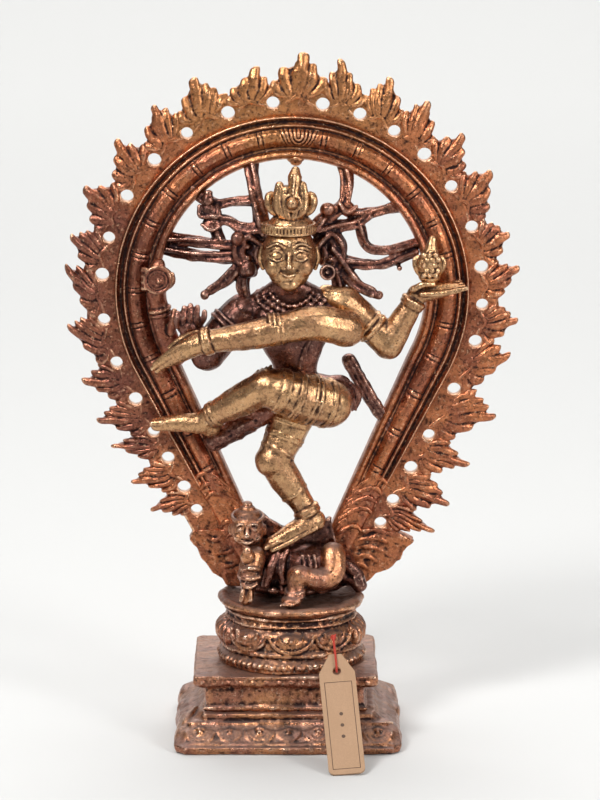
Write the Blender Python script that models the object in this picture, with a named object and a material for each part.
"""A small cast nataraja: a dancing four-armed figure inside an arch of flames, on a lotus base.

The figure faces -Y, +X is the viewer's right and +Z is up. The origin is the centre of the base's
underside. The metal pieces are modelled as a founder makes them in wax, each on its own, with a
hair's gap where two meet. A card tag on a thread hangs from the groove of the lotus pedestal.
"""

import math

import bmesh
import bpy
from mathutils import Matrix, Vector

MM = 0.001

# Gaps between pieces and the fineness of the fused pieces, mm
GAP = 0.35
VOXEL = 0.55

# Base, mm
FOOT_HALF_X = 29.3
FOOT_FRONT = -26.0
FOOT_BACK = 25.0
FOOT_TOP = 9.1
WAIST_HALF_X = 21.1
WAIST_TOP = 15.9
SLAB_HALF_X = 24.1
SLAB_TOP = 19.4
FOOT_SHIFT_X = -0.8
BASE_SHIFT_X = -1.5
PETALS = 18
PETAL_RADIUS = 19.3
PEDESTAL_TOP = 33.9
RIM_RADIUS = 19.3
RIM_TOP = 37.0
DISH_DEPTH = 1.0
ROUND_SEGMENTS = 36

# Arch, mm: a circle that runs on into two straight stiles
ARCH_X = 0.3
ARCH_Z = 117.0
ARCH_TURN = math.radians(118)
HOLE_LINE = 50.0
BAND_INNER = 35.0
BAND_OUTER = 46.6
STILE_WIDTH_SHARE = 0.63
ARCH_FOOT = RIM_TOP + GAP
FLANGE_OUTER = 54.5
FLANGE_FOOT = 51.5
FLANGE_FRONT = 4.6
FLANGE_BACK = 8.8
BAND_BACK = 10.0
HOLE_RADIUS = 1.7
FLAME_SOFTENING = 0.14

# Distance of each hole and of each flame's tip from the arch's top along the line of the holes,
# and the radius that the tip reaches. The flames of a hand-made arch differ a little.
LEFT_HOLES = (5, 17, 29, 40, 52, 64, 74, 86, 98, 109, 119, 127, 136, 143)
RIGHT_HOLES = (8, 18, 28, 38, 49, 61, 72, 82, 92, 106, 120, 130, 140, 147)
LEFT_TIPS = (
    (9, 60), (21, 62), (32, 61), (44, 61), (56, 61), (66, 60), (74, 60),
    (86, 60), (100, 60.5), (109, 62), (118, 62), (128, 62), (138, 61),
)
RIGHT_TIPS = (
    (11, 62.5), (21, 62), (31, 61.5), (42, 61), (52, 61), (65, 59), (74, 60),
    (85, 60), (94, 60), (107, 63.5), (123, 63.5), (134, 64), (143, 64),
)
TOP_TIP = (2, 63)

# Tag and thread, mm and degrees
TAG_WIDTH = 9.4
TAG_LENGTH = 34.2
TAG_THICK = 0.7
TAG_TO_HOLE = 29.3
TAG_LEAN = 41.8
TAG_ROLL = -5.0
TAG_HOLE_RADIUS = 1.1
TAG_HOLE = Vector((11.9, -24.3, 21.95))
THREAD_RADIUS = 0.3
THREAD_SPLIT = 1.0
THREAD_REACH = 11.0
KNOT_RADIUS = 0.9

# Colours: red, green, blue, roughness, metallic
METALS = {
    "copper": (0.42, 0.17, 0.09, 0.42, 1.0),
    "dark_copper": (0.20, 0.08, 0.06, 0.55, 1.0),
    "brass": (0.60, 0.38, 0.17, 0.35, 1.0),
    "thread_red": (0.60, 0.10, 0.04, 0.80, 0.0),
    "kraft_card": (0.50, 0.33, 0.20, 0.85, 0.0),
}


def clear_scene():
    for obj in list(bpy.data.objects):
        bpy.data.objects.remove(obj, do_unlink=True)


def material(name):
    found = bpy.data.materials.get(name)
    if found:
        return found
    red, green, blue, rough, metallic = METALS[name]
    made = bpy.data.materials.new(name)
    made.use_nodes = True
    shader = made.node_tree.nodes["Principled BSDF"]
    shader.inputs["Base Color"].default_value = (red, green, blue, 1.0)
    shader.inputs["Roughness"].default_value = rough
    shader.inputs["Metallic"].default_value = metallic
    return made


def link(name, mesh, slot=None):
    obj = bpy.data.objects.new(name, mesh)
    bpy.context.scene.collection.objects.link(obj)
    if slot:
        mesh.materials.clear()
        mesh.materials.append(material(slot))
    return obj


def from_bmesh(name, bm, slot=None):
    bmesh.ops.recalc_face_normals(bm, faces=bm.faces)
    mesh = bpy.data.meshes.new(name)
    bm.to_mesh(mesh)
    bm.free()
    return link(name, mesh, slot)


def loft(name, rings, slot=None):
    """A closed skin through rings of points that all have the same count."""
    bm = bmesh.new()
    rows = [[bm.verts.new(Vector(p) * MM) for p in ring] for ring in rings]
    count = len(rows[0])
    for below, above in zip(rows, rows[1:]):
        for i in range(count):
            j = (i + 1) % count
            bm.faces.new((below[i], below[j], above[j], above[i]))
    bm.faces.new(rows[0])
    bm.faces.new(rows[-1])
    return from_bmesh(name, bm, slot)


def ellipse(centre, across, deep, segments=16):
    """A level ring of points round a centre."""
    turn = 2 * math.pi / segments
    return [
        (centre[0] + across * math.cos(i * turn), centre[1] + deep * math.sin(i * turn), centre[2])
        for i in range(segments)
    ]


def prism(name, outline, front, back, slot=None):
    """An outline in X and Z, run through from front to back."""
    return loft(name, [[(x, y, z) for x, z in outline] for y in (front, back)], slot)


def ball(centre, radii, segments=12):
    if not isinstance(radii, tuple):
        radii = (radii, radii, radii)
    bm = bmesh.new()
    bmesh.ops.create_uvsphere(bm, u_segments=segments, v_segments=segments // 2 + 1, radius=MM)
    bmesh.ops.scale(bm, vec=Vector(radii), verts=bm.verts)
    bmesh.ops.translate(bm, vec=Vector(centre) * MM, verts=bm.verts)
    return from_bmesh("ball", bm)


def turned(centre, axis, profile, segments=16):
    """A solid turned about an axis through a centre; the profile holds (distance, radius)."""
    tilt = Vector((0, 0, 1)).rotation_difference(Vector(axis)).to_matrix()
    rings = [
        [Vector(centre) + tilt @ Vector(p) for p in ellipse((0, 0, along), radius, radius, segments)]
        for along, radius in profile
    ]
    return loft("turned", rings)


def limb(points, radii, sides=2):
    """A smooth tapering tube through points, filled at both ends."""
    curve = bpy.data.curves.new("limb", "CURVE")
    curve.dimensions = "3D"
    curve.bevel_depth = MM
    curve.bevel_resolution = sides
    curve.resolution_u = 4
    curve.use_fill_caps = True
    spline = curve.splines.new("BEZIER")
    spline.bezier_points.add(len(points) - 1)
    for knot, point, radius in zip(spline.bezier_points, points, radii):
        knot.co = Vector(point) * MM
        knot.radius = radius
        knot.handle_left_type = knot.handle_right_type = "AUTO"
    guide = link("guide", curve)
    mesh = mesh_of(guide)
    bpy.data.objects.remove(guide)
    return link("limb", mesh)


def mesh_of(obj):
    """The mesh that an object and its modifiers make."""
    graph = bpy.context.evaluated_depsgraph_get()
    return bpy.data.meshes.new_from_object(obj.evaluated_get(graph))


def apply_modifiers(obj):
    mesh = mesh_of(obj)
    obj.modifiers.clear()
    obj.data = mesh


def fuse(name, parts, slot, triangles, voxel=VOXEL):
    """Several overlapping shapes melted into one body with about so many triangles."""
    bm = bmesh.new()
    for part in parts:
        bm.from_mesh(part.data)
        bpy.data.objects.remove(part)
    obj = from_bmesh(name, bm)
    remesh = obj.modifiers.new("fuse", "REMESH")
    remesh.mode = "VOXEL"
    remesh.voxel_size = voxel * MM
    apply_modifiers(obj)
    keep_largest(obj)
    decimate = obj.modifiers.new("lighten", "DECIMATE")
    decimate.ratio = min(1.0, triangles / (2 * len(obj.data.polygons)))
    apply_modifiers(obj)
    obj.data.materials.clear()
    obj.data.materials.append(material(slot))
    return obj


def islands(bm):
    """The separate bodies of a mesh, as lists of vertices."""
    left = set(bm.verts)
    found = []
    while left:
        stack = [left.pop()]
        island = []
        while stack:
            vert = stack.pop()
            island.append(vert)
            for edge in vert.link_edges:
                other = edge.other_vert(vert)
                if other in left:
                    left.discard(other)
                    stack.append(other)
        found.append(island)
    return found


def keep_largest(obj):
    """Drops the crumbs that a cut or a fusing may leave beside the body."""
    bm = bmesh.new()
    bm.from_mesh(obj.data)
    bodies = sorted(islands(bm), key=len)
    for crumb in bodies[:-1]:
        bmesh.ops.delete(bm, geom=crumb, context="VERTS")
    bm.to_mesh(obj.data)
    bm.free()


def grown(obj, by):
    """A cutter: the object's skin moved outward."""
    mesh = obj.data.copy()
    bm = bmesh.new()
    bm.from_mesh(mesh)
    bm.normal_update()
    shift = {v: v.normal * (by * MM * min(1.6, v.calc_shell_factor())) for v in bm.verts}
    for vert, move in shift.items():
        vert.co += move
    bm.to_mesh(mesh)
    bm.free()
    cutter = link("cutter", mesh)
    cutter.matrix_world = obj.matrix_world
    cutter.hide_render = True
    cutter.display_type = "WIRE"
    return cutter


def boxes_meet(first, second, margin=GAP * MM):
    """Whether two objects' boxes come within a margin of each other."""
    ends = []
    for obj in (first, second):
        points = [obj.matrix_world @ v.co for v in obj.data.vertices]
        ends.append([(min(p[k] for p in points), max(p[k] for p in points)) for k in range(3)])
    return all(a[0] - margin < b[1] and b[0] - margin < a[1] for a, b in zip(*ends))


def clear_of(obj, others):
    """Cuts an object back to a small gap from the pieces that it meets."""
    for other in others:
        if not boxes_meet(obj, other):
            continue
        cutter = grown(other, GAP)
        cut = obj.modifiers.new("clearance", "BOOLEAN")
        cut.operation = "DIFFERENCE"
        cut.object = cutter
        bpy.context.view_layer.update()
        apply_modifiers(obj)
        bpy.data.objects.remove(cutter)
    keep_largest(obj)
    return obj


# ---------------------------------------------------------------- base


def plate(name, steps, centre_x, corner, slot):
    """A four-sided moulding with its corners cut off: each step is (height, half width, front,
    back)."""
    rings = []
    for z, half, front, back in steps:
        left = centre_x - half
        right = centre_x + half
        rings.append([
            (left + corner, front, z), (right - corner, front, z),
            (right, front + corner, z), (right, back - corner, z),
            (right - corner, back, z), (left + corner, back, z),
            (left, back - corner, z), (left, front + corner, z),
        ])
    return loft(name, rings, slot)


def base():
    foot = plate("plinth_foot", [
        (0, FOOT_HALF_X, FOOT_FRONT, FOOT_BACK),
        (1.75, FOOT_HALF_X + 0.5, FOOT_FRONT + 0.3, FOOT_BACK),
        (2.6, FOOT_HALF_X + 0.3, FOOT_FRONT + 1.5, FOOT_BACK - 0.2),
        (5.0, FOOT_HALF_X - 0.6, FOOT_FRONT + 4.4, FOOT_BACK - 1),
        (6.7, FOOT_HALF_X - 3.0, FOOT_FRONT + 6.2, FOOT_BACK - 3),
        (7.1, FOOT_HALF_X - 4.4, FOOT_FRONT + 7.2, FOOT_BACK - 4),
        (7.7, FOOT_HALF_X - 5.4, FOOT_FRONT + 6.8, FOOT_BACK - 4.6),
        (FOOT_TOP, FOOT_HALF_X - 6.6, FOOT_FRONT + 7.4, FOOT_BACK - 5.4),
    ], FOOT_SHIFT_X, 2.2, "copper")
    waist = plate("plinth_waist", [
        (FOOT_TOP + GAP, WAIST_HALF_X + 0.8, -17.6, 18.6),
        (FOOT_TOP + 1.3, WAIST_HALF_X, -17, 18),
        (WAIST_TOP - 1, WAIST_HALF_X, -17, 18),
        (WAIST_TOP, WAIST_HALF_X + 0.8, -17.8, 18.8),
    ], BASE_SHIFT_X, 1.2, "copper")
    slab = plate("plinth_slab", [
        (WAIST_TOP + GAP, SLAB_HALF_X - 0.6, -19.4, 21.4),
        (WAIST_TOP + 0.9, SLAB_HALF_X, -20, 22),
        (SLAB_TOP - 0.5, SLAB_HALF_X, -20, 22),
        (SLAB_TOP, SLAB_HALF_X - 0.5, -19.5, 21.5),
    ], BASE_SHIFT_X, 1.2, "copper")
    return [foot, waist, slab]


def lathe(name, profile, slot, lobes=0, depth=0.0):
    """A turned piece; between the heights that swell, its radius rises and falls in lobes."""
    rings = []
    for z, radius, swell in profile:
        ring = []
        for i in range(ROUND_SEGMENTS):
            angle = 2 * math.pi * i / ROUND_SEGMENTS
            r = radius - swell * depth * (0.5 - 0.5 * math.cos(lobes * angle))
            ring.append((r * math.sin(angle), -r * math.cos(angle), z))
        rings.append(ring)
    return loft(name, rings, slot)


def pedestal():
    floor = SLAB_TOP + GAP
    lotus = lathe("lotus_pedestal", [
        (floor, 17.9, 0), (floor + 1, 18.6, 0), (22.3, 18.6, 0), (22.9, 17.6, 0), (24.2, 17.2, 0),
        (25.0, PETAL_RADIUS - 0.8, 1), (27.2, PETAL_RADIUS, 1), (29.3, PETAL_RADIUS - 0.7, 1),
        (30.3, 17.0, 0), (31.0, 16.6, 0), (31.6, 17.4, 0), (PEDESTAL_TOP - 0.6, 17.4, 0),
        (PEDESTAL_TOP, 16.8, 0),
    ], "copper", PETALS, 1.0)
    rim = lathe("pedestal_rim", [
        (PEDESTAL_TOP + GAP, 17.6, 0), (34.9, RIM_RADIUS - 0.2, 0), (36.2, RIM_RADIUS, 0),
        (RIM_TOP, RIM_RADIUS - 0.8, 0), (RIM_TOP, RIM_RADIUS - 1.8, 0),
        (RIM_TOP - DISH_DEPTH, RIM_RADIUS - 3.2, 0),
    ], "dark_copper")
    return [lotus, rim]


# ---------------------------------------------------------------- arch


def arch_point(along, radius):
    """X and Z of a place on the arch: along the line of the holes from the top, and out from its
    centre. Past the turn it runs straight down the stile."""
    side = math.copysign(1, along)
    reach = abs(along)
    turn = min(reach / HOLE_LINE, ARCH_TURN)
    straight = max(0.0, reach - HOLE_LINE * ARCH_TURN)
    x = radius * math.sin(turn) + straight * math.cos(ARCH_TURN)
    z = radius * math.cos(turn) - straight * math.sin(ARCH_TURN)
    return ARCH_X + side * x, ARCH_Z + z


def stile_length(radius, floor):
    """How far a stile's line at this radius runs before it comes down to a level."""
    return (ARCH_Z + radius * math.cos(ARCH_TURN) - floor) / math.sin(ARCH_TURN)


def arch_stations(radius_at, floor, arcs, straights):
    """Points from the left foot over the top to the right foot. radius_at gives the radius for
    the share of the stile that is passed, 0 all the way round the circle."""
    half = HOLE_LINE * ARCH_TURN
    points = []
    for side in (-1, 1):
        column = []
        for i in range(straights, 0, -1):
            share = i / straights
            radius = radius_at(share)
            column.append(arch_point(side * (half + share * stile_length(radius, floor)), radius))
        points.append(column)
    round_part = [
        arch_point(half * (2 * i / arcs - 1), radius_at(0.0)) for i in range(arcs + 1)
    ]
    return points[0] + round_part + points[1][::-1]


def arch_band():
    """The moulded band: an outer ridge, a rounded middle and an inner ridge on its front."""
    section = (
        (BAND_OUTER, 5.2), (46.2, 3.4), (45.0, 3.4), (44.6, 4.6), (43.2, 3.4), (41.6, 2.8),
        (40.0, 3.4), (38.7, 4.6), (37.1, 4.6), (36.5, 3.3), (35.4, 3.6), (BAND_INNER, 5.0),
        (BAND_INNER + 0.3, BAND_BACK), (BAND_OUTER, BAND_BACK),
    )
    lines = []
    for radius, y in section:
        def narrowed(share, radius=radius):
            width = 1 - (1 - STILE_WIDTH_SHARE) * min(1.0, share / 0.8)
            return BAND_OUTER - (BAND_OUTER - radius) * width
        stations = arch_stations(narrowed, ARCH_FOOT, 36, 7)
        lines.append([(x, y, z) for x, z in stations])
    rings = [list(ring) for ring in zip(*lines)]
    return loft("arch_band", rings, "copper")


def arch_flange():
    """The flat strip outside the band, with a round hole between every two flames."""
    inner = arch_stations(lambda share: BAND_OUTER + GAP, FLANGE_FOOT, 34, 6)
    outer = arch_stations(lambda share: FLANGE_OUTER, FLANGE_FOOT, 34, 6)
    rings = [
        [(a[0], FLANGE_FRONT, a[1]), (b[0], FLANGE_FRONT, b[1]),
         (b[0], FLANGE_BACK, b[1]), (a[0], FLANGE_BACK, a[1])]
        for a, b in zip(inner, outer)
    ]
    flange = loft("arch_flange", rings, "copper")
    drills = bmesh.new()
    places = [-s for s in LEFT_HOLES] + list(RIGHT_HOLES)
    for along in places:
        x, z = arch_point(along, HOLE_LINE)
        centre = Vector((x, (FLANGE_FRONT + FLANGE_BACK) / 2, z)) * MM
        bmesh.ops.create_cone(
            drills, cap_ends=True, segments=10, radius1=HOLE_RADIUS * MM, radius2=HOLE_RADIUS * MM,
            depth=3 * (FLANGE_BACK - FLANGE_FRONT) * MM,
            matrix=Matrix.Translation(centre) @ Matrix.Rotation(math.pi / 2, 4, "X"),
        )
    cutter = from_bmesh("drills", drills)
    cutter.hide_render = True
    cutter.display_type = "WIRE"
    cut = flange.modifiers.new("holes", "BOOLEAN")
    cut.operation = "DIFFERENCE"
    cut.object = cutter
    bpy.context.view_layer.update()
    apply_modifiers(flange)
    bpy.data.objects.remove(cutter)
    return flange


def flame(name, foot, half_width, tip, length):
    """One flame: a fan of fingers, the longest in the middle, all leaning the same way.

    Each finger is (place across the flame from -1 to 1, share of the full height)."""
    fingers = ((-0.92, 0.0), (-0.8, 0.42), (-0.58, 0.36), (-0.42, 0.72), (-0.24, 0.64),
               (-0.09, 0.97), (0.09, 0.97), (0.24, 0.62), (0.42, 0.68), (0.58, 0.34),
               (0.8, 0.38), (0.92, 0.0), (0.46, 0.0), (0.0, 0.0), (-0.46, 0.0))
    root = FLANGE_OUTER + GAP + 0.15
    outline = []
    for across, rise in fingers:
        along = foot + across * half_width + (tip - foot) * rise
        outline.append(arch_point(along, root + (length - root) * rise))
    middle = arch_point((foot + tip) / 2, (root + length) / 2)
    inner = [(x + (middle[0] - x) * FLAME_SOFTENING, z + (middle[1] - z) * FLAME_SOFTENING)
             for x, z in outline]
    rings = [
        [(x, FLANGE_FRONT - 0.4, z) for x, z in inner],
        [(x, FLANGE_FRONT + 0.3, z) for x, z in outline],
        [(x, FLANGE_BACK - 0.2, z) for x, z in outline],
    ]
    return loft(name, rings, "copper")


def flames():
    made = []
    middle = (RIGHT_HOLES[0] - LEFT_HOLES[0]) / 2
    half = (RIGHT_HOLES[0] + LEFT_HOLES[0]) / 2
    made.append(flame("flame_top", middle, half, TOP_TIP[0], TOP_TIP[1]))
    for side, word, holes, tips in (
        (-1, "left", LEFT_HOLES, LEFT_TIPS), (1, "right", RIGHT_HOLES, RIGHT_TIPS)
    ):
        for i, (tip, length) in enumerate(tips):
            foot = side * (holes[i] + holes[i + 1]) / 2
            half = (holes[i + 1] - holes[i]) / 2
            made.append(flame(f"flame_{word}_{i + 1:02d}", foot, half, side * tip, length))
    return made


def leaves():
    """The leaf ends that join the stiles to the pedestal."""
    top = FLANGE_FOOT - GAP - 0.2
    band_top = abs(arch_point(HOLE_LINE * ARCH_TURN + stile_length(BAND_OUTER, top), BAND_OUTER)[0])
    band_foot = abs(arch_point(
        HOLE_LINE * ARCH_TURN + stile_length(BAND_OUTER, ARCH_FOOT), BAND_OUTER)[0])
    left = [(-band_top - 0.4 + 2 * ARCH_X, top), (-25.6, top), (-26.8, 49.6), (-23.6, 45),
            (-22.4, 44.2), (-20.6, 41), (-18.4, 39.8), (-17.0, ARCH_FOOT),
            (-band_foot - 0.4 + 2 * ARCH_X, ARCH_FOOT)]
    right = [(band_top + 0.4, top), (27.5, top), (33, 49.2), (29.6, 46.4), (29.0, 44.6),
             (25.6, 41.9), (22.4, 40.6), (19.2, ARCH_FOOT), (band_foot + 0.4, ARCH_FOOT)]
    return [
        prism("leaf_left", left, 2.5, 10, "copper"),
        prism("leaf_right", right, 2.5, 10, "copper"),
    ]


# ---------------------------------------------------------------- figure


def torso():
    rings = [
        ellipse((1.5, -1, 94.2), 6.4, 4.6), ellipse((1.0, -1, 98.3), 5.9, 4.4),
        ellipse((0.4, -1, 103.5), 8.2, 5.3), ellipse((0.3, -1, 109), 11.5, 5.8),
        ellipse((0.5, -0.5, 113.2), 13.6, 5.2), ellipse((0.3, -0.5, 115.8), 9.5, 4.4),
        ellipse((-0.2, -1.5, 117.6), 3.8, 3.4), ellipse((-0.5, -2.5, 120.0), 3.1, 3.0),
    ]
    return loft("torso", rings, "dark_copper")


def hips():
    parts = [
        ball((5.2, 0, 90.2), (10.8, 6.4, 6.0)),
        ball((2.0, -1, 93.0), (7.5, 5.4, 4.0)),
        limb([(-3, 3, 93.5), (5, 4, 90), (12, 3, 87)], (1.6, 2.0, 1.6)),
    ]
    return fuse("hip_cloth", parts, "dark_copper", 220)


def raised_leg():
    parts = [
        limb([(10.0, -5.5, 89.2), (4, -8, 91.0), (-4.5, -10.5, 94.2)], (6.5, 6.9, 5.6)),
        ball((9.8, -5.5, 89.2), 6.4),
        ball((-5.5, -11, 94.8), (5.2, 5.2, 4.9)),
        limb([(-6.5, -11.5, 94.8), (-12, -8.5, 91.2), (-18, -6, 87.6), (-22.6, -4.2, 84.8)],
             (4.7, 4.6, 3.6, 2.7)),
        limb([(-20.6, -3.2, 82.6), (-24.5, -4, 83.4), (-30, -3.6, 83.4), (-36.2, -2.6, 82.8)],
             (2.6, 2.9, 2.2, 1.2)),
        limb([(-20.9, -3.0, 82.2), (-22.6, -4.2, 85.0)], (2.6, 2.8)),
    ]
    return fuse("raised_leg", parts, "brass", 460)


def standing_leg():
    parts = [
        limb([(1.0, -1, 87.5), (-1.6, -2, 80), (-4.6, -3.6, 74)], (6.2, 5.4, 4.6)),
        limb([(-4.6, -3.6, 74), (-1, -2.6, 67.5), (2.4, -2.4, 62.5), (4.8, -2.6, 58.6)],
             (4.5, 4.4, 3.3, 2.8)),
        limb([(6.4, -2.6, 57.0), (2.8, -4.0, 55.6), (-1.2, -5.4, 53.6), (-5.4, -6.4, 51.6)],
             (2.9, 2.8, 2.4, 1.7)),
    ]
    parts.append(ball((-4.9, -4.0, 73.6), (4.7, 4.6, 4.6)))
    return fuse("standing_leg", parts, "brass", 400)


def head():
    parts = [
        ball((-0.5, -5.4, 128.4), (7.2, 6.0, 8.2), 16),
        turned((-0.5, -4.6, 134.6), (0, 0, 1), ((0, 6.7), (0.6, 7.1), (2.2, 7.0), (2.8, 6.4))),
        limb([(-0.5, -11.0, 129.8), (-0.5, -12.0, 127.2)], (0.7, 1.1)),
        ball((-7.4, -3.6, 127.4), (1.2, 1.6, 2.6)),
        ball((6.4, -3.6, 127.4), (1.2, 1.6, 2.6)),
    ]
    return fuse("head", parts, "brass", 360)


def crown():
    parts = [
        turned((-0.2, -4.2, 137.6), (0, 0, 1),
               ((0, 4.9), (2.0, 4.3), (4.5, 5.4), (7.5, 4.8), (9.5, 3.4))),
        limb([(0.2, -5, 146), (0.2, -4.5, 149.5), (0.6, -4, 152.6)], (2.5, 2.0, 0.9)),
        ball((0.0, -9.2, 142.2), 1.5),
    ]
    for side in (-1, 1):
        parts.append(limb([(side * 4.2, -4.4, 138.6), (side * 5.2, -4.4, 142.5),
                           (side * 3.8, -4.4, 146.4)], (1.4, 1.6, 1.0)))
        parts.append(limb([(side * 3.2, -7.4, 139.4), (side * 3.6, -7.6, 143.6),
                           (side * 2.6, -6.6, 147.4)], (1.4, 1.5, 1.0)))
    return fuse("crown", parts, "brass", 320, 0.5)


def hair_left():
    """The flying locks of the viewer's left, which tie the head to the arch."""
    parts = [
        limb([(-7.2, 0, 133), (-8.4, 1.0, 140), (-10.4, 3, 146), (-12.6, 6.5, 151.6)],
             (2.0, 1.6, 1.6, 1.7)),
        limb([(-9.4, 2, 141.5), (-15, 3.5, 142.0), (-20.5, 4.5, 140.5), (-25.5, 6.5, 143.8)],
             (1.2, 1.1, 1.9, 2.2)),
        limb([(-22.4, 4.6, 140.0), (-21.6, 4.0, 136), (-19.6, 3, 133.6)], (2.4, 2.4, 1.4)),
        limb([(-20.0, 3, 135), (-17.8, 2, 130)], (1.4, 1.4)),
        limb([(-7.0, 0, 134), (-12.4, 0.5, 134.5), (-16.6, 1.5, 136.4), (-20.5, 3, 136.5)],
             (1.8, 1.5, 1.2, 1.0)),
        limb([(-7.6, 0, 130.6), (-11.5, 0, 132), (-13, 0, 127), (-10, 0, 123)],
             (1.8, 1.6, 1.6, 1.5)),
        limb([(-10, 0, 129.0), (-18, 1.6, 129.6), (-26, 4, 130.4), (-33.8, 7, 130.6)],
             (1.6, 1.3, 1.3, 1.8)),
        limb([(-10, 0, 126.6), (-18, 1.6, 126.2), (-26, 4, 126.6), (-33.8, 7, 128.2)],
             (1.6, 1.4, 1.3, 1.8)),
        limb([(-12, 0, 126), (-16, 0.5, 121.6), (-21.8, 1, 117.4)], (1.5, 1.5, 0.9)),
        limb([(-11.6, 0, 124), (-12.6, 0, 119.6), (-11.6, 0, 115.4)], (1.4, 1.5, 1.8)),
    ]
    return fuse("hair_locks_left", parts, "dark_copper", 480)


def hair_right():
    """The flying locks of the viewer's right, up to the hand that holds the flame."""
    parts = [
        limb([(6.0, 0, 134), (9.4, 1.0, 137.4), (13.2, 2.4, 140.2), (14.6, 4, 145),
              (13.8, 7, 151.4)], (2.0, 1.6, 1.7, 1.5, 1.8)),
        limb([(13.2, 2.4, 140), (16.6, 3, 138), (21.5, 4.4, 138.2), (28.8, 7, 138.4)],
             (1.3, 1.3, 1.2, 1.8)),
        limb([(7, 0, 134), (12.6, 1, 135), (16.8, 2.6, 133.8), (19, 3, 130), (23.6, 4, 127)],
             (1.7, 1.4, 1.4, 1.3, 1.2)),
        limb([(6.8, 0, 130), (10.6, 0, 131.8), (12.4, 0, 127.4), (10.2, 0, 122.8)],
             (1.8, 1.6, 1.6, 1.5)),
        limb([(10, 0, 129.0), (16.6, 1.6, 128.2), (23.4, 4, 126.6), (32.6, 6.4, 126.8)],
             (1.6, 1.3, 1.3, 1.4)),
        limb([(10.4, 0, 126.6), (16, 1.0, 124.8), (23.4, 3, 123.6), (31.4, 5, 125.2)],
             (1.6, 1.3, 1.3, 1.2)),
        limb([(11.4, 0, 125.4), (15.6, 0.5, 120.6), (20.8, 1, 117.0)], (1.5, 1.5, 0.9)),
        limb([(11.6, 0, 124), (12.4, 0, 119.6), (12.0, 0, 115.4)], (1.4, 1.5, 1.8)),
    ]
    return fuse("hair_locks_right", parts, "dark_copper", 460)


def earring():
    """A ring hung at the ear on the viewer's right."""
    turns = 14
    rings = []
    for i in range(turns):
        angle = 2 * math.pi * i / turns
        x = 9.3 + 1.75 * math.cos(angle)
        z = 124.0 + 1.75 * math.sin(angle)
        rings.append([
            (x + 0.6 * math.cos(a) * math.cos(angle), -5.2 + 0.6 * math.sin(a),
             z + 0.6 * math.cos(a) * math.sin(angle))
            for a in [2 * math.pi * k / 8 for k in range(8)]
        ])
    bm = bmesh.new()
    rows = [[bm.verts.new(Vector(p) * MM) for p in ring] for ring in rings]
    for row, following in zip(rows, rows[1:] + rows[:1]):
        for k in range(8):
            bm.faces.new((row[k], row[(k + 1) % 8], following[(k + 1) % 8], following[k]))
    return from_bmesh("earring", bm, "brass")


def front_left_arm():
    """The arm that crosses the chest, with an armlet, a bangle and a drooping hand."""
    parts = [
        limb([(14.5, -6.5, 109.2), (6, -10.5, 111.4), (-3.5, -12.2, 110.2)], (5.0, 4.6, 3.9)),
        ball((14.2, -6.3, 109.4), 5.0),
        turned((-1.6, -12.2, 110.4), (-1, -0.05, -0.1), ((-0.6, 4.0), (0, 4.6), (0.6, 4.0))),
        limb([(-1, -12.2, 110.6), (-9, -12.8, 109.0), (-18.4, -12.0, 107.6)], (4.3, 4.0, 2.9)),
        turned((-17.4, -12.2, 107.9), (-1, 0.1, -0.25), ((-0.7, 3.2), (0, 3.9), (0.7, 3.2))),
        limb([(-18.4, -12, 107.6), (-23.6, -11.2, 106.2), (-28.4, -10.0, 103.2),
              (-34.8, -8, 99.6)], (2.7, 3.3, 2.5, 1.0)),
        limb([(-24, -9.6, 106.2), (-27.6, -8.6, 105.4), (-31, -7.6, 103.6)], (1.3, 1.2, 0.9)),
    ]
    return fuse("front_left_arm", parts, "brass", 460)


def front_right_arm():
    """The arm raised in blessing, behind the crossing arm."""
    parts = [
        limb([(-12.5, 0.5, 112.2), (-17.4, -0.5, 107.4), (-21.6, -2.4, 102)], (5.4, 5.2, 4.6)),
        ball((-21.8, -2.6, 102.2), 4.9),
        limb([(-22.2, -3, 102.4), (-25.2, -4.6, 107.2), (-26.6, -5.6, 109.4)], (4.2, 3.2, 2.9)),
        limb([(-26.4, -5.6, 108.6), (-27.2, -6, 113.4)], (2.9, 1.9)),
        ball((-26.9, -5.9, 110.6), (3.5, 1.7, 3.4)),
    ]
    return fuse("front_right_arm", parts, "dark_copper", 360)


def rear_right_arm():
    """The arm that lifts the drum, along the inside of the arch."""
    parts = [
        limb([(-13.6, 4.0, 111.0), (-22, 6.2, 104), (-30.8, 5.2, 100.6)], (3.4, 3.2, 3.0)),
        limb([(-30.6, 4.6, 100.2), (-33.2, 2.0, 107.6), (-34.8, 0.4, 115.6)], (3.4, 2.9, 2.4)),
        limb([(-34.8, 0.4, 115.0), (-35.2, 0.0, 119.4), (-34.6, 0.6, 124.6)], (2.4, 3.0, 2.2)),
    ]
    return fuse("rear_right_arm", parts, "copper", 260)


def hand_drum():
    """The small hourglass drum, held with one face to the front."""
    return turned_node("hand_drum", (-34.6, -2.6, 121.8), (0, -1, 0), (
        (-1.9, 3.2), (-1.2, 2.9), (-0.1, 2.1), (1.0, 2.9), (1.9, 3.4), (2.5, 2.9),
    ), "copper")


def turned_node(name, centre, axis, profile, slot):
    obj = turned(centre, axis, profile)
    obj.name = name
    obj.data.materials.append(material(slot))
    return obj


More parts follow.
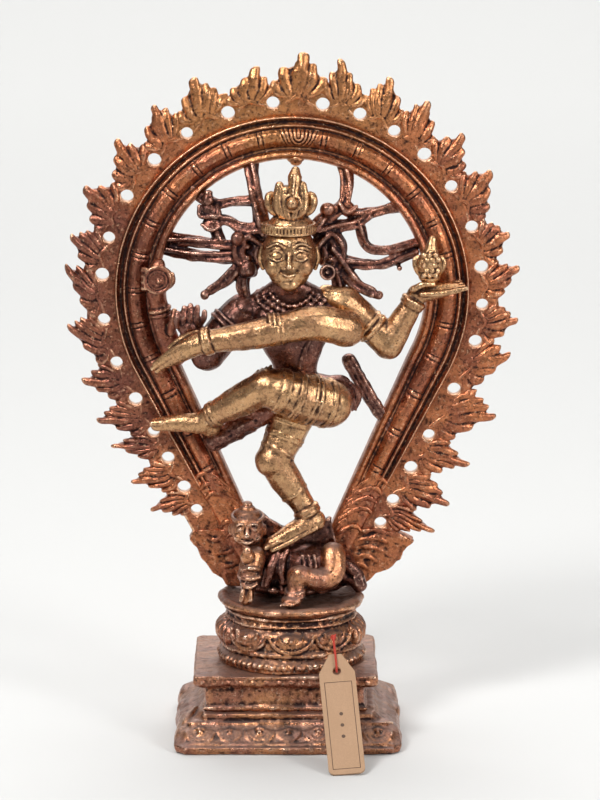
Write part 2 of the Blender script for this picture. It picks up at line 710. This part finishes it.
def rear_left_arm():
    """The arm that holds the flame on its flat palm."""
    parts = [
        limb([(13.0, 1.4, 113.4), (18.4, 0.6, 110.6), (24.6, 0, 105.0)], (5.0, 4.4, 4.1)),
        turned((20.8, 0.4, 108.6), (0.72, 0, -0.69), ((-0.8, 3.9), (0, 4.7), (0.8, 3.9))),
        ball((25.4, 0, 104.0), 4.2),
        limb([(25.8, 0, 104.4), (29.0, -0.2, 110.2), (32.4, -0.4, 116.0)], (4.1, 3.5, 2.6)),
        turned((31.8, -0.4, 115.2), (0.5, 0, 0.86), ((-0.8, 2.9), (-0.2, 3.5), (0.8, 3.0))),
        limb([(32.6, -0.6, 117.4), (37.4, -1.4, 118.2), (44.6, -2.0, 119.6)], (2.6, 2.4, 1.2)),
    ]
    return fuse("rear_left_arm", parts, "brass", 380)


def hand_flame():
    parts = [
        limb([(36.0, -1.8, 121.0), (36.2, -1.8, 125.2), (36.8, -1.8, 131.0)], (2.6, 3.1, 0.8)),
        ball((36.0, -1.8, 122.0), (3.0, 2.4, 1.6)),
        limb([(34.2, -1.8, 123.2), (33.0, -1.8, 127.6)], (1.5, 0.8)),
        limb([(38.0, -1.8, 123.2), (39.2, -1.8, 127.2)], (1.5, 0.8)),
    ]
    return fuse("hand_flame", parts, "brass", 200, 0.45)


def sash():
    """The end of the sash, a flat bar down to the stile."""
    points = [(15.2, 4.0, 98.8), (18.6, 4.6, 92.6), (22.4, 5.6, 86.0), (28.0, 7.0, 78.4)]
    return fuse("sash_end", [limb(points, (2.0, 2.0, 1.9, 1.9))], "dark_copper", 150)


def dwarf():
    body = fuse("dwarf_body", [
        ball((5.0, -2.5, 45.4), (8.2, 6.6, 5.6)),
        limb([(12, 0, 44), (4, 0, 43), (-8, -1, 44)], (5.5, 6.0, 5.0)),
        ball((-8.0, -2, 45), (4.4, 5.0, 4.6)),
        ball((0.5, 0, 39.0), (13.5, 7.5, 2.6)),
        limb([(12, 2, 41), (16.5, -1.5, 41.5), (18.2, -3.0, 39.6)], (3.2, 3.0, 2.2)),
    ], "dark_copper", 420)
    face = fuse("dwarf_head", [
        ball((-11.4, -7.4, 56.0), (4.4, 4.2, 4.6)),
        ball((-11.4, -6.0, 59.2), (3.8, 3.6, 2.4)),
        limb([(-11.2, -11.4, 55.6), (-11.2, -11.8, 54.4)], (0.8, 1.1)),
        limb([(-10.4, -5, 53), (-9.6, -4, 49.6)], (3.0, 3.0)),
    ], "copper", 260)
    leg = fuse("dwarf_bent_leg", [
        limb([(11.0, -6, 48.6), (10.2, -8.6, 43.4), (1.6, -11.2, 44.2)], (3.6, 3.4, 2.6)),
        limb([(1.6, -11.2, 44.2), (1.2, -12.2, 41.0), (0.6, -13.2, 38.4)], (2.9, 2.4, 2.3)),
        ball((0.2, -14.0, 38.0), (3.0, 2.8, 1.7)),
    ], "copper", 280)
    arm = fuse("dwarf_arm_cobra", [
        limb([(-9.8, -8.6, 48.6), (-10.6, -10.2, 45.4), (-11.0, -11.4, 42.2)], (3.3, 3.3, 2.5)),
        ball((-10.8, -10.8, 44.4), (3.4, 2.8, 2.4)),
        limb([(-11.2, -11.6, 42.4), (-11.6, -12.2, 38.4)], (1.8, 2.0)),
    ], "copper", 240)
    return [body, face, leg, arm]


# ---------------------------------------------------------------- tag


def tag_frame():
    """The tag's own axes, turned in its plane and leant back, about the centre of its hole."""
    lean = Matrix.Rotation(math.radians(-TAG_LEAN), 4, "X")
    roll = Matrix.Rotation(math.radians(TAG_ROLL), 4, "Y")
    return Matrix.Translation(TAG_HOLE * MM) @ lean @ roll


def hang_tag():
    """A card with a pointed top, round lower corners and a punched hole, its origin."""
    half = TAG_WIDTH / 2
    low = -TAG_TO_HOLE
    high = TAG_LENGTH - TAG_TO_HOLE
    corner = 1.6
    outline = []
    for centre_x, start in ((half - corner, -90), (-half + corner, 180)):
        arc = [math.radians(start + 30 * k) for k in range(4)]
        outline += [
            (centre_x + corner * math.cos(a), low + corner + corner * math.sin(a)) for a in arc
        ]
        if start == -90:
            outline += [(half, high - 5.4), (1.6, high), (-1.6, high), (-half, high - 5.4)]
    tag = prism("hang_tag", outline, -TAG_THICK / 2, TAG_THICK / 2, "kraft_card")
    punch = turned((0, -2, 0), (0, 1, 0), ((0, TAG_HOLE_RADIUS), (4, TAG_HOLE_RADIUS)), 14)
    punch.hide_render = True
    punch.display_type = "WIRE"
    cut = tag.modifiers.new("hole", "BOOLEAN")
    cut.operation = "DIFFERENCE"
    cut.object = punch
    bpy.context.view_layer.update()
    apply_modifiers(tag)
    bpy.data.objects.remove(punch)
    tag.matrix_world = tag_frame()
    return tag


def thread_knot_place():
    return tag_frame() @ Vector((0, 0, THREAD_REACH * MM))


def thread():
    """The doubled thread, from the knot through the tag's hole and back, and its knot."""
    place = tag_frame()
    stations = [(0.45, 9.8), (0.6, 8.2), (THREAD_SPLIT, 5.6), (THREAD_SPLIT, 2.4),
                (0.8, 0.7), (0.0, 0.0)]
    path = [(-y, z) for y, z in stations] + [(y, z) for y, z in stations[-2::-1]]
    smooth = smooth_path([Vector((0, y, z)) for y, z in path], 0.8)
    curve = bpy.data.curves.new("thread_loop", "CURVE")
    curve.dimensions = "3D"
    curve.bevel_depth = THREAD_RADIUS * MM
    curve.bevel_resolution = 2
    curve.use_fill_caps = True
    knot_place = thread_knot_place()
    spline = curve.splines.new("POLY")
    spline.points.add(len(smooth) - 1)
    for point, target in zip(smooth, spline.points):
        target.co = ((place @ (point * MM)) - knot_place).to_4d()
        target.co[3] = 1.0
    loop = link("thread_loop", curve)
    loop.location = knot_place
    curve.materials.append(material("thread_red"))
    knot = ball((0, 0, 0), (KNOT_RADIUS, KNOT_RADIUS, KNOT_RADIUS * 0.8), 10)
    knot.name = "thread_knot"
    knot.location = knot_place
    knot.data.materials.append(material("thread_red"))
    return [loop, knot]


def smooth_path(points, step):
    """Points about a step apart on a smooth curve through the given ones."""
    out = []
    ends = [points[0] * 2 - points[1]] + points + [points[-1] * 2 - points[-2]]
    for before, start, end, after in zip(ends, ends[1:], ends[2:], ends[3:]):
        count = max(1, round((end - start).length / step))
        for i in range(count):
            t = i / count
            out.append(0.5 * (
                2 * start + (end - before) * t
                + (2 * before - 5 * start + 4 * end - after) * t * t
                + (3 * start - before - 3 * end + after) * t * t * t
            ))
    return out + [points[-1]]


def main():
    clear_scene()
    done = base() + pedestal()
    done += [arch_band(), arch_flange()] + leaves()
    done += flames()
    for piece in (torso, standing_leg, raised_leg, front_left_arm, head, rear_left_arm):
        done.append(clear_of(piece(), done))
    for piece in dwarf():
        done.append(clear_of(piece, done))
    for piece in (hips, crown, front_right_arm, hand_drum, hand_flame, earring, rear_right_arm,
                  hair_left, hair_right, sash):
        done.append(clear_of(piece(), done))
    done.append(hang_tag())
    thread()
    for obj in bpy.context.scene.collection.objects:
        if obj.type == "MESH":
            obj.data.shade_smooth()
            obj.data.set_sharp_from_angle(angle=math.radians(40))


main()
